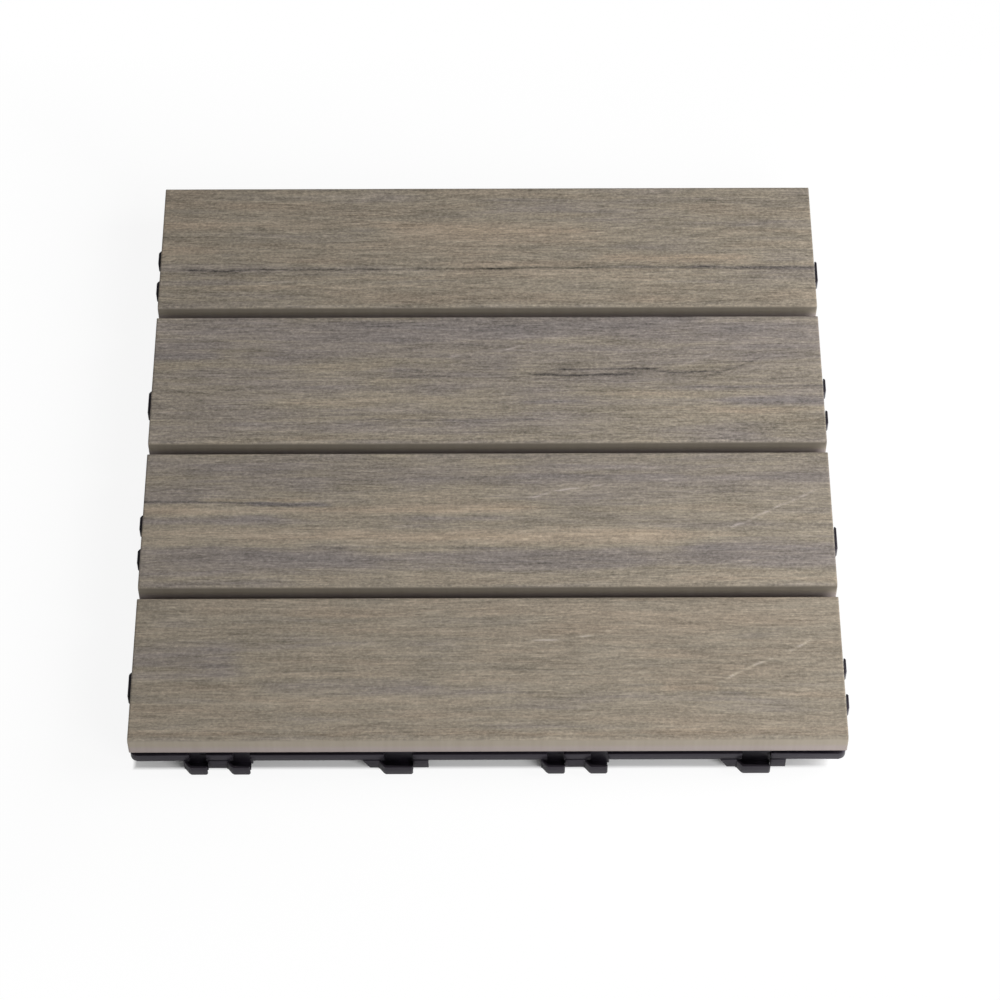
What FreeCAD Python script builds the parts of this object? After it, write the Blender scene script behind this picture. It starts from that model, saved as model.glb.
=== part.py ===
import FreeCAD, Part
import math
import os

# Interlocking deck tile: four composite slats on a moulded grid base with hook tabs on all sides.
# Frame: millimetres, +Z up, origin at the centre of the tile on the ground under its feet.
# The slats run along X.

# Overall sizes
tile_side = 300.0
deck_height = 24.0

# Slats
slat_count = 4
slat_gap = 5.0
slat_thickness = 10.0
slat_top_radius = 1.5
slat_bottom_radius = 0.8

# Rim of the base
rim_height = 6.5
rim_corner_radius = 3.0
groove_depth = 1.2
groove_height = 2.0

# Round shapes that repeat many times are cut as regular prisms with these numbers of sides
foot_sides = 10
screw_sides = 8

# Rib grid of the base: cells across the slats follow the slats, cells along them have their own pitch
cells_per_slat = 3
column_pitch = 30.0
rib_width = 2.0
rib_height = 9.0
edge_clear = 4.5

# Hollow feet under the rib crossings, four to a row, two rows to a slat
foot_columns = (1, 4)
foot_wall = 1.8
foot_roof = 3.0

# Screws, driven up through the outermost feet
screw_shank_radius = 1.75
screw_length = 10.0
screw_point = 2.5
screw_tip_radius = 0.3
screw_head_radius = 3.7
screw_head_height = 2.2
screw_head_edge = 0.6
head_clearance = 0.5
base_hole_clearance = 0.25
pilot_clearance = 0.05
pilot_spare = 0.5

# Hook tabs on the four sides; neighbouring tiles stand a small joint apart
tabs_per_side = 4
tile_joint = 0.6
lip_clearance = 0.1
hook_reach = 3.3
hook_wall = 1.0
hook_slant = 2.5
hook_corner_cut = 0.6
hook_bottom = 1.6
hook_top_clearance = 0.3
heel_wall = 1.8
heel_margin = 0.8
skirt_wall = 1.2
skirt_proud = 0.25
skirt_bottom = 2.0
skirt_reach = 12.5
skirt_slope = 2.9
twin_hook_width = 7.5
twin_hook_gap = 10.4
single_hook_width = 12.0
window_inset = 0.4

# Sizes that follow from the ones above
base_top = deck_height - slat_thickness
half_side = tile_side / 2
slat_width = (tile_side - (slat_count - 1) * slat_gap) / slat_count
groove_floor = base_top - groove_height
rim_bottom = groove_floor - (rim_height - groove_height)
rib_bottom = base_top - rib_height
slat_pitch = slat_width + slat_gap
row_pitch = slat_pitch / cells_per_slat
screw_seat = base_top - foot_roof
foot_bore = screw_head_radius + head_clearance
foot_radius = foot_bore + foot_wall
hook_top = rim_bottom - hook_top_clearance
rim_wall = hook_reach - tile_joint + lip_clearance
tab_spacing = tile_side / tabs_per_side


def rounded_outline(corners):
    """Closed wire in the XY plane through corners (x, y, radius); radius 0 stays sharp."""
    starts = []
    edges = []
    ends = []
    count = len(corners)
    for index, (x, y, radius) in enumerate(corners):
        here = FreeCAD.Vector(x, y, 0)
        before = FreeCAD.Vector(*corners[index - 1][:2], 0)
        after = FreeCAD.Vector(*corners[(index + 1) % count][:2], 0)
        to_before = (before - here).normalize()
        to_after = (after - here).normalize()
        half_angle = to_before.getAngle(to_after) / 2
        run = radius / math.tan(half_angle)
        starts.append(here + to_before * run)
        ends.append(here + to_after * run)
        if radius > 0:
            inward = (to_before + to_after).normalize()
            middle = here + inward * (radius / math.sin(half_angle) - radius)
            edges.append(Part.Arc(starts[-1], middle, ends[-1]).toShape())
    for index in range(count):
        edges.append(Part.makeLine(ends[index - 1], starts[index]))
    return Part.Wire(Part.__sortEdges__(edges))


def prism(corners, bottom, top):
    """Upright solid of a rounded outline between two heights."""
    face = Part.Face(rounded_outline(corners))
    face.translate(FreeCAD.Vector(0, 0, bottom))
    return face.extrude(FreeCAD.Vector(0, 0, top - bottom))


def square_prism(half, radius, bottom, top):
    """Square column about the Z axis, with rounded corners."""
    corners = [(-half, -half, radius), (half, -half, radius), (half, half, radius), (-half, half, radius)]
    return prism(corners, bottom, top)


def block(x_low, x_high, y_low, y_high, bottom, top):
    """Plain box between two corners."""
    corner = FreeCAD.Vector(x_low, y_low, bottom)
    return Part.makeBox(x_high - x_low, y_high - y_low, top - bottom, corner)


def ring_points(x, y, radius, height, sides):
    """Corners of the many-sided outline that stands for a circle."""
    turn = 2 * math.pi / sides
    points = []
    for number in range(sides + 1):
        angle = turn * (number + 0.5)
        points.append(FreeCAD.Vector(x + radius * math.cos(angle), y + radius * math.sin(angle), height))
    return points


def tapered_column(x, y, bottom_radius, top_radius, bottom, top, sides):
    """Round column whose radius changes evenly from its bottom to its top."""
    low = ring_points(x, y, bottom_radius, bottom, sides)
    high = ring_points(x, y, top_radius, top, sides)
    faces = [Part.Face(Part.makePolygon(low)), Part.Face(Part.makePolygon(high))]
    for number in range(sides):
        corners = [low[number], low[number + 1], high[number + 1], high[number], low[number]]
        faces.append(Part.Face(Part.makePolygon(corners)))
    return Part.Solid(Part.Shell(faces))


def column(x, y, radius, bottom, top, sides):
    """Round column at a place on the grid."""
    return tapered_column(x, y, radius, radius, bottom, top, sides)


def mirrored(distances):
    """Each distance on both sides of the centre, in rising order."""
    return sorted({side * distance for distance in distances for side in (-1, 1)})


def column_lines():
    """Ribs that run across the slats, from the middle of the tile outwards."""
    count = int((half_side - edge_clear) / column_pitch)
    return mirrored(number * column_pitch for number in range(count + 1))


def row_lines():
    """Ribs that run along the slats: one under each gap and the others evenly between."""
    count = slat_count * cells_per_slat
    return [(number - count / 2) * row_pitch for number in range(1, count)]


def foot_rows():
    """Feet stand under the ribs that carry a slat, not under those below a gap."""
    return [y for number, y in enumerate(row_lines(), 1) if number % cells_per_slat]


def foot_places():
    """Feet stand at chosen rib crossings, alike on both sides of the centre."""
    columns = mirrored(number * column_pitch for number in foot_columns)
    return [(x, y) for x in columns for y in foot_rows()]


def screw_places():
    """Screws go up through the outermost feet, near both ends of each slat."""
    return [(x, y) for x in mirrored([max(foot_columns) * column_pitch]) for y in foot_rows()]


def rim():
    """Outer frame of the base, stepped back at its top so that a groove shows under the slats."""
    outer = square_prism(half_side, rim_corner_radius, rim_bottom, groove_floor)
    set_back = half_side - groove_depth
    ledge = square_prism(set_back, rim_corner_radius - groove_depth, groove_floor, base_top)
    inside = half_side - rim_wall
    hollow = square_prism(inside, 0, rim_bottom, base_top)
    return outer.fuse(ledge).cut(hollow)


def rib_grid():
    """Square lattice of ribs inside the rim, kept clear of the neighbours' hooks low down."""
    reach = half_side - rim_wall
    slab = block(-reach, reach, -reach, reach, rib_bottom, base_top)
    columns = [-half_side] + column_lines() + [half_side]
    rows = [-half_side] + row_lines() + [half_side]
    half_rib = rib_width / 2
    cells = []
    for x_low, x_high in zip(columns, columns[1:]):
        for y_low, y_high in zip(rows, rows[1:]):
            west = max(x_low + half_rib, -reach)
            east = min(x_high - half_rib, reach)
            south = max(y_low + half_rib, -reach)
            north = min(y_high - half_rib, reach)
            cells.append(block(west, east, south, north, rib_bottom, base_top))
    clear = half_side - edge_clear
    low_edge = square_prism(half_side, 0, rib_bottom, rim_bottom)
    low_edge = low_edge.cut(square_prism(clear, 0, rib_bottom, rim_bottom))
    return slab.cut(cells).cut(low_edge)


def hook(left, right):
    """One hook of the front side: an arm slanting out of the base and a lip along the side."""
    face = -half_side
    root = left - hook_slant
    arm = hook_wall * math.hypot(hook_slant, hook_reach) / hook_reach
    lip_depth = hook_reach - hook_wall
    inner_corner = root + arm + hook_slant * lip_depth / hook_reach
    lip_corners = [
        (root, face, 0),
        (left - hook_corner_cut / 2, face - hook_reach + hook_corner_cut, 0),
        (left + hook_corner_cut, face - hook_reach, 0),
        (right - hook_corner_cut, face - hook_reach, 0),
        (right, face - hook_reach + hook_corner_cut, 0),
        (right, face - lip_depth, 0),
        (inner_corner, face - lip_depth, 0),
        (root + arm, face, 0),
    ]
    lip = prism(lip_corners, hook_bottom, hook_top)
    inside = face + skirt_wall - skirt_proud
    return lip.fuse(block(root, root + arm, face, inside, hook_bottom, rim_bottom))


def heel(left, right):
    """Wall that stands on the ground behind a hook and stops the lip of the next tile."""
    front = -half_side + rim_wall
    back = front + heel_wall
    return block(left - hook_slant, right + heel_margin, front, back, 0, base_top)


def skirt(left, right, slope):
    """Wall hanging from the front rim that a neighbour's hook grips; its left end may slope."""
    outside = -half_side - skirt_proud
    inside = outside + skirt_wall
    corners = [
        (left, rim_bottom, 0),
        (left + slope, skirt_bottom, 0),
        (right, skirt_bottom, 0),
        (right, rim_bottom, 0),
    ]
    wall = Part.Face(rounded_outline(corners)).extrude(FreeCAD.Vector(0, 0, inside - outside))
    wall.rotate(FreeCAD.Vector(0, 0, 0), FreeCAD.Vector(1, 0, 0), 90)
    wall.translate(FreeCAD.Vector(0, inside, 0))
    return wall


def window(left, right):
    """Opening through the front rim above a hook."""
    inner = -half_side + rim_wall
    return block(left, right, -half_side, inner, rim_bottom, groove_floor)


def twin_tab():
    """Tab with two hooks either side of a skirt: the solids to add and the windows to cut."""
    inner = twin_hook_gap / 2
    outer = inner + twin_hook_width
    left_hook = hook(-outer, -inner)
    right_hook = hook(inner, outer)
    middle = skirt(-inner, inner - hook_slant, 0)
    windows = [window(-outer, -inner - window_inset), window(inner + window_inset, outer)]
    return [left_hook, right_hook, middle, heel(-outer, -inner), heel(inner, outer)], windows


def single_tab():
    """Tab with one wide hook between two skirts: the solids to add and the window to cut."""
    half = single_hook_width / 2
    wide_hook = hook(-half, half)
    left_skirt = skirt(-skirt_reach - hook_slant, -half - hook_slant + hook_wall, skirt_slope)
    right_skirt = skirt(half, skirt_reach, 0)
    return [wide_hook, left_skirt, right_skirt, heel(-half, half)], [window(-half, half)]


def side_tabs():
    """All tabs and windows: twin and single tabs take turns along each of the four sides."""
    solids = []
    windows = []
    for side in range(4):
        for place in range(tabs_per_side):
            added, cut = twin_tab() if place % 2 == 0 else single_tab()
            along = (place - (tabs_per_side - 1) / 2) * tab_spacing
            for shape in added + cut:
                shape.translate(FreeCAD.Vector(along, 0, 0))
                shape.rotate(FreeCAD.Vector(0, 0, 0), FreeCAD.Vector(0, 0, 1), 90 * side)
            solids += added
            windows += cut
    return solids, windows


def base_grid():
    """The one-piece moulded base."""
    tabs, windows = side_tabs()
    feet = [column(x, y, foot_radius, 0, base_top, foot_sides) for x, y in foot_places()]
    base = rib_grid().fuse([rim()] + feet + tabs)
    hollows = [column(x, y, foot_bore, 0, screw_seat, foot_sides) for x, y in foot_places()]
    bore = screw_shank_radius + base_hole_clearance
    holes = [column(x, y, bore, screw_seat, base_top, screw_sides) for x, y in screw_places()]
    return base.cut(windows + hollows + holes).removeSplitter()


def screw(x, y):
    """Pan-head wood screw, driven up through the base into a slat."""
    tip = screw_seat + screw_length
    crown = screw_seat - screw_head_height
    crown_radius = screw_head_radius - screw_head_edge
    taper = tip - screw_point
    head = tapered_column(x, y, crown_radius, screw_head_radius, crown, screw_seat, screw_sides)
    shank = column(x, y, screw_shank_radius, screw_seat, taper, screw_sides)
    point = tapered_column(x, y, screw_shank_radius, screw_tip_radius, taper, tip, screw_sides)
    return head.fuse([shank, point]).removeSplitter()


def pilot_hole(x, y):
    """Hole drilled in a slat for the part of a screw that stands above the base."""
    depth = screw_length - foot_roof + pilot_spare
    radius = screw_shank_radius + pilot_clearance
    return column(x, y, radius, base_top, base_top + depth, screw_sides)


def slat(number):
    """One slat, counted from the front: a board with rounded long edges and square-cut ends."""
    front = -half_side + number * slat_pitch
    back = front + slat_width
    corners = [
        (front, base_top, slat_bottom_radius),
        (back, base_top, slat_bottom_radius),
        (back, deck_height, slat_top_radius),
        (front, deck_height, slat_top_radius),
    ]
    board = Part.Face(rounded_outline(corners)).extrude(FreeCAD.Vector(0, 0, tile_side))
    board.rotate(FreeCAD.Vector(0, 0, 0), FreeCAD.Vector(1, 1, 1), 120)
    board.translate(FreeCAD.Vector(-half_side, 0, 0))
    holes = [pilot_hole(x, y) for x, y in screw_places() if front < y < back]
    return board.cut(holes)


os.makedirs("parts", exist_ok=True)
base_grid().exportStep("parts/base_grid.step")
for number in range(slat_count):
    slat(number).exportStep("parts/slat_%d.step" % (number + 1))
screws = Part.makeCompound([screw(x, y) for x, y in screw_places()])
screws.exportStep("parts/slat_screws.step")
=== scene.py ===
import math

import bmesh
import bpy
import numpy as np
from mathutils import Matrix, Vector
from mathutils.geometry import tessellate_polygon

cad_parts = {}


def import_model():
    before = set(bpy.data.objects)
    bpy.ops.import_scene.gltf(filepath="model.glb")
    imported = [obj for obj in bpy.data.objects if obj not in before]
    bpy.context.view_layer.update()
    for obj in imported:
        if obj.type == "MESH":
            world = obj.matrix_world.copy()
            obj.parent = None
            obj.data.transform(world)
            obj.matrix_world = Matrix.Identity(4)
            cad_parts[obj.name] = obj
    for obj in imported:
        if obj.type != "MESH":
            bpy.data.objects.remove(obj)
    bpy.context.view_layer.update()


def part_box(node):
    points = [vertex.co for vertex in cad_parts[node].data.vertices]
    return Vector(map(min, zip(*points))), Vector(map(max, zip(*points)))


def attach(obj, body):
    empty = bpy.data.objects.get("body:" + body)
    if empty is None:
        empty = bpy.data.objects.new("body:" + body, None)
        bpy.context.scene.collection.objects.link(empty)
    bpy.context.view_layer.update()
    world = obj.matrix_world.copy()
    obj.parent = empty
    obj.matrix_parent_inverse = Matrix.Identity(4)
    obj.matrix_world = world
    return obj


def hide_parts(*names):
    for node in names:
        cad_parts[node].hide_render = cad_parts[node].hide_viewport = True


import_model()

MM = 0.001

# Slats: mesh spacing, rounded long edges and sawn ends
COLUMN_STEP = 0.85 * MM
ROW_STEP = 0.33 * MM
SIDE_STEP = 2.5 * MM
UNDERSIDE_STEP = 8 * MM
TOP_RADIUS = 1.5 * MM
TOP_ARC_STEPS = 8
BOTTOM_RADIUS = 0.8 * MM
BOTTOM_ARC_STEPS = 3
END_CHAMFER = 0.15 * MM
CAP_THICKNESS = 0.6 * MM
SLAT_CREASE = math.radians(50)

# Embossed grain: its depth and lowest value, and the shift that keeps the noise of the slats apart
GRAIN_DEPTH = 0.055 * MM
DEEPEST_RELIEF = -1.6
GRAIN_SEED = 20
SLAT_SHIFT = 0.1

# Noise layers of the grain: length along the slat and width across it in millimetres, and strength
WANDER_LAYERS = [(90, 16, 1.3), (35, 7, 0.45)]
TONE_LAYERS = [(120, 9, 0.03), (50, 3, 0.04), (20, 1.2, 0.04), (26, 10, 0.035), (11, 6, 0.02)]
TINT_LAYERS = [(150, 11, 0.22), (70, 4, 0.28), (24, 6, 0.3)]
RELIEF_LAYERS = [(16, 1.1, 0.5), (9, 0.75, 0.35), (4, 0.7, 0.25)]
RELIEF_SINK = 0.3

# Marks of the grain: how they stray from their line, fade at their ends and break into dashes
STRAY_LAYERS = [(14, 40, 1.0), (5, 40, 0.4)]
MARK_OVERRUN = 0.06
MARK_FADE = 6
MARK_END = 0.35
DASH_LENGTH = 6
DASH_WIDTH = 0.8
DASH_CONTRAST = 1.6
DASH_LIFT = 0.1
DASH_LIMIT = 1.3

# Printed top: how it sets in over the rounded long edges
PRINT_FADE = 1.6
PRINT_START = 0.25

# Printed pattern: roughness of its noise, mean of that noise squared, and pull of the grain's tint
FIBRE_ROUGHNESS = 0.85
SQUARE_MEAN = 0.264
TINT_PULL = 0.26

# Plain long sides: where grey turns to tan, where the painted shade in the gaps sets in, and how far out
# gaps reach
TAN_FROM = 17.5 * MM
TAN_FULL = 20 * MM
PAINTED_SHADE_FROM = 19 * MM
PAINTED_SHADE_FULL = 23.4 * MM
GAP_PAINTED_SHADE = 0.5
GAP_REACH = 149 * MM

# Rim, groove and ledge of the base, in millimetres like all values from here to the camera
HALF = 150.0
RIM_INSIDE = 147.0
GROOVE_FACE = 148.8
RIM_BOTTOM = 7.5
GROOVE_FLOOR = 12.0
BASE_TOP = 14.0
RIM_CORNER = 3.0
LEDGE_CORNER = 1.8
CORNER_STEPS = 6
LEDGE_SINK = 0.5

# Ribs and feet, which stand at the crossings of numbered columns and rows
COLUMN_PITCH = 30.0
SLAT_PITCH = 76.25
ROW_PITCH = SLAT_PITCH / 3
OUTER_COLUMN = 4
OUTER_ROW = 5
RIB_BOTTOM = 5.0
RIB_WIDTH = 2.0
LOW_EDGE = 145.5
FOOT_COLUMNS = (-4, -1, 1, 4)
FOOT_ROWS = (-5, -4, -2, -1, 1, 2, 4, 5)
FOOT_RADIUS = 6.0
FOOT_BORE = 4.2
FOOT_ROUND = 0.3
FOOT_ROUND_MIDDLE = 0.09
FOOT_AROUND = 40

# Tabs: four to a side, twin and single ones in turn, and the windows in the rim above them
TABS = 4
TAB_SPACING = 75.0
TWIN_INNER = 5.2
TWIN_OUTER = 12.7
SINGLE_HALF = 6.0
WINDOW_INSET = 0.4

# Hook of a tab, with its heel and sole
HOOK_REACH = 3.3
HOOK_WALL = 1.0
HOOK_SLANT = 2.5
HOOK_CUT = 0.6
HOOK_BOTTOM = 1.6
HOOK_TOP = 7.2
ROOT_OVERLAP = 0.3
HEEL_BACK = 145.2
HEEL_MARGIN = 0.8
SOLE_HEIGHT = 1.2
SOLE_OVERLAP = 0.5

# Skirt walls between and beside the hooks; they and the hooks' roots reach up into the rim
SKIRT_WALL = 1.2
SKIRT_PROUD = 0.25
SKIRT_BOTTOM = 2.0
SKIRT_REACH = 12.5
SKIRT_SLOPE = 2.9
RIM_OVERLAP = 0.2

# Softened edges of the moulding, and the distance within which its points merge
RIM_SOFTNESS = 0.3
RIB_SOFTNESS = 0.2
HOOK_SOFTNESS = 0.22
HEEL_SOFTNESS = 0.2
SKIRT_SOFTNESS = 0.15
WELD = 0.0005
BASE_CREASE = math.radians(32)

# Screws: columns of feet that they pass through, pan head, shank and thread
SCREW_COLUMNS = (-4, 4)
SCREW_HOLE = 2.0
SCREW_SEAT = 11.0
SCREW_TIP = 21.0
HEAD_BOTTOM = 8.8
HEAD_RADIUS = 3.7
HEAD_PROFILE = [(2.7, HEAD_BOTTOM), (3.2, 8.95), (3.5, 9.3), (3.66, 9.9), (HEAD_RADIUS, 10.6)]
SHANK_RADIUS = 1.75
TIP_RADIUS = 0.3
TAPER_START = 18.5
THREAD_START = 11.8
THREAD_PITCH = 1.5
THREAD_ROOT = 0.76
THREAD_FLAT = 0.4
THREAD_STEP = 0.125
SCREW_AROUND = 24
SCREW_SEED = 7
SCREW_CREASE = math.radians(38)

# Cross recess of a screw head, which narrows to a share of its width
CROSS_HALF = 0.45
CROSS_REACH = 1.9
CROSS_DEPTH = 1.3
CROSS_NARROWING = 0.72

# Camera, from the four corners of the deck in the photograph
SENSOR = 36.0
FOCAL_LENGTH = 120.35
ELEVATION = math.radians(54.997)
YAW = -0.0018963
ROLL = -0.0015310
DISTANCE = 1.45891
AIM = Vector((0.005417, -0.028325, 0.024))
CLIP_END = 20

# Light: strength of the surroundings, and two soft lamps
WORLD_LIGHT = 0.31
LAMP_POWER = 9.0
LAMP_AIM = Vector((0.0, 0.0, 0.0))
FRONT_LAMP = Vector((0.65, -0.85, 0.55))
FRONT_LAMP_SIZE = 0.7
SIDE_LAMP = Vector((0.8, 0.0, 0.52))
SIDE_LAMP_SIZE = 0.6

# Floor: half its side, where its white sets in at the tile's edge, and where the faint shadow in it fades
FLOOR_HALF = 3.0
WHITE_FROM = 148.3 * MM
WHITE_AROUND = 150 * MM
FLOOR_WHITE = 0.9
FAINT_SHADOW_FROM = 165 * MM
FAINT_SHADOW_END = 260 * MM

# Axes of an upright prism, and of prisms lying along Y and along X
UPRIGHT = Matrix.Identity(4)
ALONG_Y = Matrix(((1, 0, 0, 0), (0, 0, 1, 0), (0, 1, 0, 0), (0, 0, 0, 1)))
ALONG_X = Matrix(((0, 0, 1, 0), (1, 0, 0, 0), (0, 1, 0, 0), (0, 0, 0, 1)))


def srgb(red, green, blue):
    """Linear colour of an 8-bit display colour."""
    return tuple(((level / 255 + 0.055) / 1.055) ** 2.4 for level in (red, green, blue)) + (1.0,)


class Nodes:
    """Short calls that build the nodes of one material or world."""

    def __init__(self, tree):
        self.tree = tree
        tree.nodes.clear()

    def put(self, socket, value):
        """Link another node's output to a socket, or set its value."""
        if isinstance(value, bpy.types.NodeSocket):
            self.tree.links.new(value, socket)
        else:
            socket.default_value = value

    def add(self, kind, inputs=(), **settings):
        """New node, with its settings and the links or values of its inputs."""
        node = self.tree.nodes.new("ShaderNode" + kind)
        for name, value in settings.items():
            setattr(node, name, value)
        for name, value in dict(inputs).items():
            self.put(node.inputs[name], value)
        return node

    def math(self, operation, first, second=0.0):
        """Result of one of the Math node's operations."""
        return self.add("Math", {0: first, 1: second}, operation=operation).outputs[0]

    def scaled(self, value, factor, offset=0.0):
        """The value times the factor, plus the offset."""
        return self.add("Math", {0: value, 1: factor, 2: offset}, operation="MULTIPLY_ADD").outputs[0]

    def attribute(self, name):
        return self.add("Attribute", attribute_name=name).outputs["Fac"]

    def place(self):
        """Place on the object in metres, as a vector."""
        return self.add("TexCoord").outputs["Object"]

    def coordinates(self):
        """Place on the object in metres, as x, y and z."""
        return self.add("SeparateXYZ", {0: self.place()}).outputs

    def vector(self, x, y, z=0.0):
        return self.add("CombineXYZ", {0: x, 1: y, 2: z}).outputs[0]

    def map_range(self, value, start, end, first=0.0, last=1.0):
        """Changes evenly from first to last while the value goes from start to end."""
        inputs = {"Value": value, "From Min": start, "From Max": end, "To Min": first, "To Max": last}
        return self.add("MapRange", inputs).outputs[0]

    def noise(self, vector, scale=1.0, detail=2.0, roughness=0.5):
        inputs = {"Vector": vector, "Scale": scale, "Detail": detail, "Roughness": roughness}
        return self.add("TexNoise", inputs).outputs["Fac"]

    def ramp(self, factor, stops):
        """Colour between the stops, each with its place from 0 to 1."""
        node = self.add("ValToRGB", {"Fac": factor})
        elements = node.color_ramp.elements
        while len(elements) < len(stops):
            elements.new(1.0)
        for element, (place, colour) in zip(elements, stops):
            element.position = place
            element.color = colour
        return node.outputs["Color"]

    def scale_colour(self, colour, factor):
        return self.add("VectorMath", {0: colour, "Scale": factor}, operation="SCALE").outputs[0]

    def blend(self, factor, first, second):
        """Mix of two colours, whose sockets on the node have the numbers 6 and 7."""
        return self.add("Mix", {0: factor, 6: first, 7: second}, data_type="RGBA").outputs[2]

    def bump(self, height, distance):
        return self.add("Bump", {"Height": height, "Distance": distance}).outputs[0]

    def surface(self, inputs):
        """Principled shader as the material's surface."""
        shader = self.add("BsdfPrincipled", inputs)
        self.add("OutputMaterial", {"Surface": shader.outputs[0]})


def material(name):
    """New material, and the calls that build its nodes."""
    finish = bpy.data.materials.new(name)
    finish.use_nodes = True
    return finish, Nodes(finish.node_tree)


def slat_sides(nodes, y, z, flecks):
    """Plain long sides: tan above, greyer below, and with painted shade inside the gaps that grows darker
    towards the top.
    """
    tan = nodes.ramp(flecks, [(0.2, srgb(141, 132, 118)), (0.8, srgb(151, 142, 128))])
    grey = nodes.ramp(flecks, [(0.2, srgb(146, 135, 130)), (0.8, srgb(154, 143, 138))])
    sides = nodes.blend(nodes.map_range(z, TAN_FROM, TAN_FULL), grey, tan)
    # Painted shade: inside the gaps the sides are darkened towards the top, standing in for the shade that
    # falls between the slats
    in_gap = nodes.math("LESS_THAN", nodes.math("ABSOLUTE", y), GAP_REACH)
    painted_shade_by_height = nodes.map_range(z, PAINTED_SHADE_FROM, PAINTED_SHADE_FULL, 0.0, GAP_PAINTED_SHADE)
    painted_shade = nodes.math("MULTIPLY", in_gap, painted_shade_by_height)
    return nodes.scale_colour(sides, nodes.scaled(painted_shade, -1.0, 1.0))


def composite_material():
    """Cap of the slats: printed fibres that follow the embossed grain, plain on the sides apart from
    painted shade in the gaps.
    """
    finish, nodes = material("composite_cap")
    x, y, z = nodes.coordinates()
    flow = nodes.attribute("flow")
    top = nodes.attribute("top")

    def fibre_noise(along, across, layer, detail=3.0):
        """Noise along the flow of the grain, with its waves per metre and its layer."""
        place = nodes.vector(nodes.scaled(x, along), nodes.scaled(flow, across), layer)
        return nodes.noise(place, detail=detail, roughness=FIBRE_ROUGHNESS)

    def centred(value, strength):
        """Noise that darkens as much as it lightens."""
        return nodes.scaled(value, strength, -strength / 2)

    def light_flecked(value, strength):
        """Noise whose light spots are rarer and stronger than its dark ones."""
        return nodes.scaled(nodes.math("MULTIPLY", value, value), strength, -strength * SQUARE_MEAN)

    streaks = fibre_noise(along=9, across=170, layer=0.0)
    fibres = fibre_noise(along=40, across=280, layer=3.7)
    flecks = fibre_noise(along=210, across=420, layer=8.1, detail=2.0)
    threads = fibre_noise(along=80, across=1100, layer=21.6, detail=2.0)
    grit = fibre_noise(along=620, across=1000, layer=33.2, detail=2.0)
    pattern = nodes.math("ADD", centred(streaks, 0.6), centred(fibres, 0.42))
    for layer, strength in ((flecks, 0.38), (threads, 1.35), (grit, 1.5)):
        pattern = nodes.math("ADD", pattern, light_flecked(layer, strength))
    pattern = nodes.math("MULTIPLY", pattern, nodes.attribute("contrast"))
    pattern = nodes.math("ADD", pattern, nodes.attribute("tone"))

    tint = nodes.scaled(nodes.attribute("tint"), TINT_PULL, 0.5)
    tint_drift = centred(fibre_noise(along=14, across=240, layer=12.3, detail=2.0), 0.5)
    printed = nodes.ramp(nodes.math("ADD", tint, tint_drift), [
        (0.0, srgb(119, 113, 111)),
        (0.28, srgb(129, 121, 115)),
        (0.5, srgb(137, 128, 114)),
        (0.72, srgb(144, 131, 115)),
        (1.0, srgb(151, 136, 116)),
    ])
    printed = nodes.scale_colour(printed, nodes.math("ADD", pattern, 1.0))
    height = nodes.math("ADD", nodes.math("ADD", fibres, flecks), nodes.math("ADD", threads, grit))
    height = nodes.math("MULTIPLY", height, nodes.scaled(top, 0.9, 0.1))
    nodes.surface({
        "Base Color": nodes.blend(top, slat_sides(nodes, y, z, flecks), printed),
        "Roughness": nodes.scaled(fibres, 0.3, 0.45),
        "Specular IOR Level": 0.3,
        "Normal": nodes.bump(height, 0.1 * MM),
    })
    return finish


def core_material():
    """Sawn ends of the slats: wood flour in plastic, with faint saw marks."""
    finish, nodes = material("composite_core")
    _, y, z = nodes.coordinates()
    grains = nodes.noise(nodes.place(), scale=1400.0, detail=3.0, roughness=0.65)
    saw_marks = nodes.noise(nodes.vector(nodes.scaled(y, 60), nodes.scaled(z, 2600)))
    colour = nodes.ramp(grains, [
        (0.3, srgb(96, 86, 74)),
        (0.55, srgb(126, 115, 100)),
        (0.75, srgb(150, 139, 121)),
    ])
    nodes.surface({
        "Base Color": colour,
        "Roughness": 0.8,
        "Specular IOR Level": 0.25,
        "Normal": nodes.bump(nodes.math("ADD", grains, saw_marks), 0.12 * MM),
    })
    return finish


def plastic_material():
    """Moulded black plastic of the base, with the faint cloudiness of a fine mould texture."""
    finish, nodes = material("base_plastic_satin")
    texture = nodes.noise(nodes.place(), scale=2200.0, roughness=0.6)
    clouds = nodes.noise(nodes.place(), scale=45.0, detail=3.0, roughness=0.55)
    nodes.surface({
        "Base Color": nodes.ramp(clouds, [(0.3, srgb(14, 12, 16)), (0.7, srgb(21, 18, 24))]),
        "Roughness": nodes.scaled(clouds, 0.2, 0.3),
        "Specular IOR Level": 0.46,
        "Specular Tint": (0.92, 0.83, 1.0, 1.0),
        "Normal": nodes.bump(texture, 0.03 * MM),
    })
    return finish


def steel_material():
    """Zinc-plated steel of the screws."""
    finish, nodes = material("screw_zinc")
    clouds = nodes.noise(nodes.place(), scale=900.0, detail=3.0, roughness=0.6)
    nodes.surface({
        "Base Color": nodes.ramp(clouds, [(0.3, srgb(176, 178, 176)), (0.7, srgb(205, 205, 200))]),
        "Metallic": 1.0,
        "Roughness": nodes.scaled(clouds, 0.25, 0.22),
    })
    return finish


def link_object(name, data):
    """New object of a mesh, camera or lamp, linked into the scene."""
    item = bpy.data.objects.new(name, data)
    bpy.context.scene.collection.objects.link(item)
    return item


def mesh_object(name, points, faces, materials, smooth=True):
    """Object of points in metres and the faces between them."""
    mesh = bpy.data.meshes.new(name)
    mesh.from_pydata(points, [], faces)
    for finish in materials:
        mesh.materials.append(finish)
    mesh.polygons.foreach_set("use_smooth", [smooth] * len(mesh.polygons))
    mesh.update()
    return link_object(name, mesh)


def ride_as(piece, slot, *nodes):
    """Fix a piece to the tile and hide the solids that it stands for; its material slot is not used."""
    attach(piece, "root")
    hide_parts(*nodes)


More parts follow.
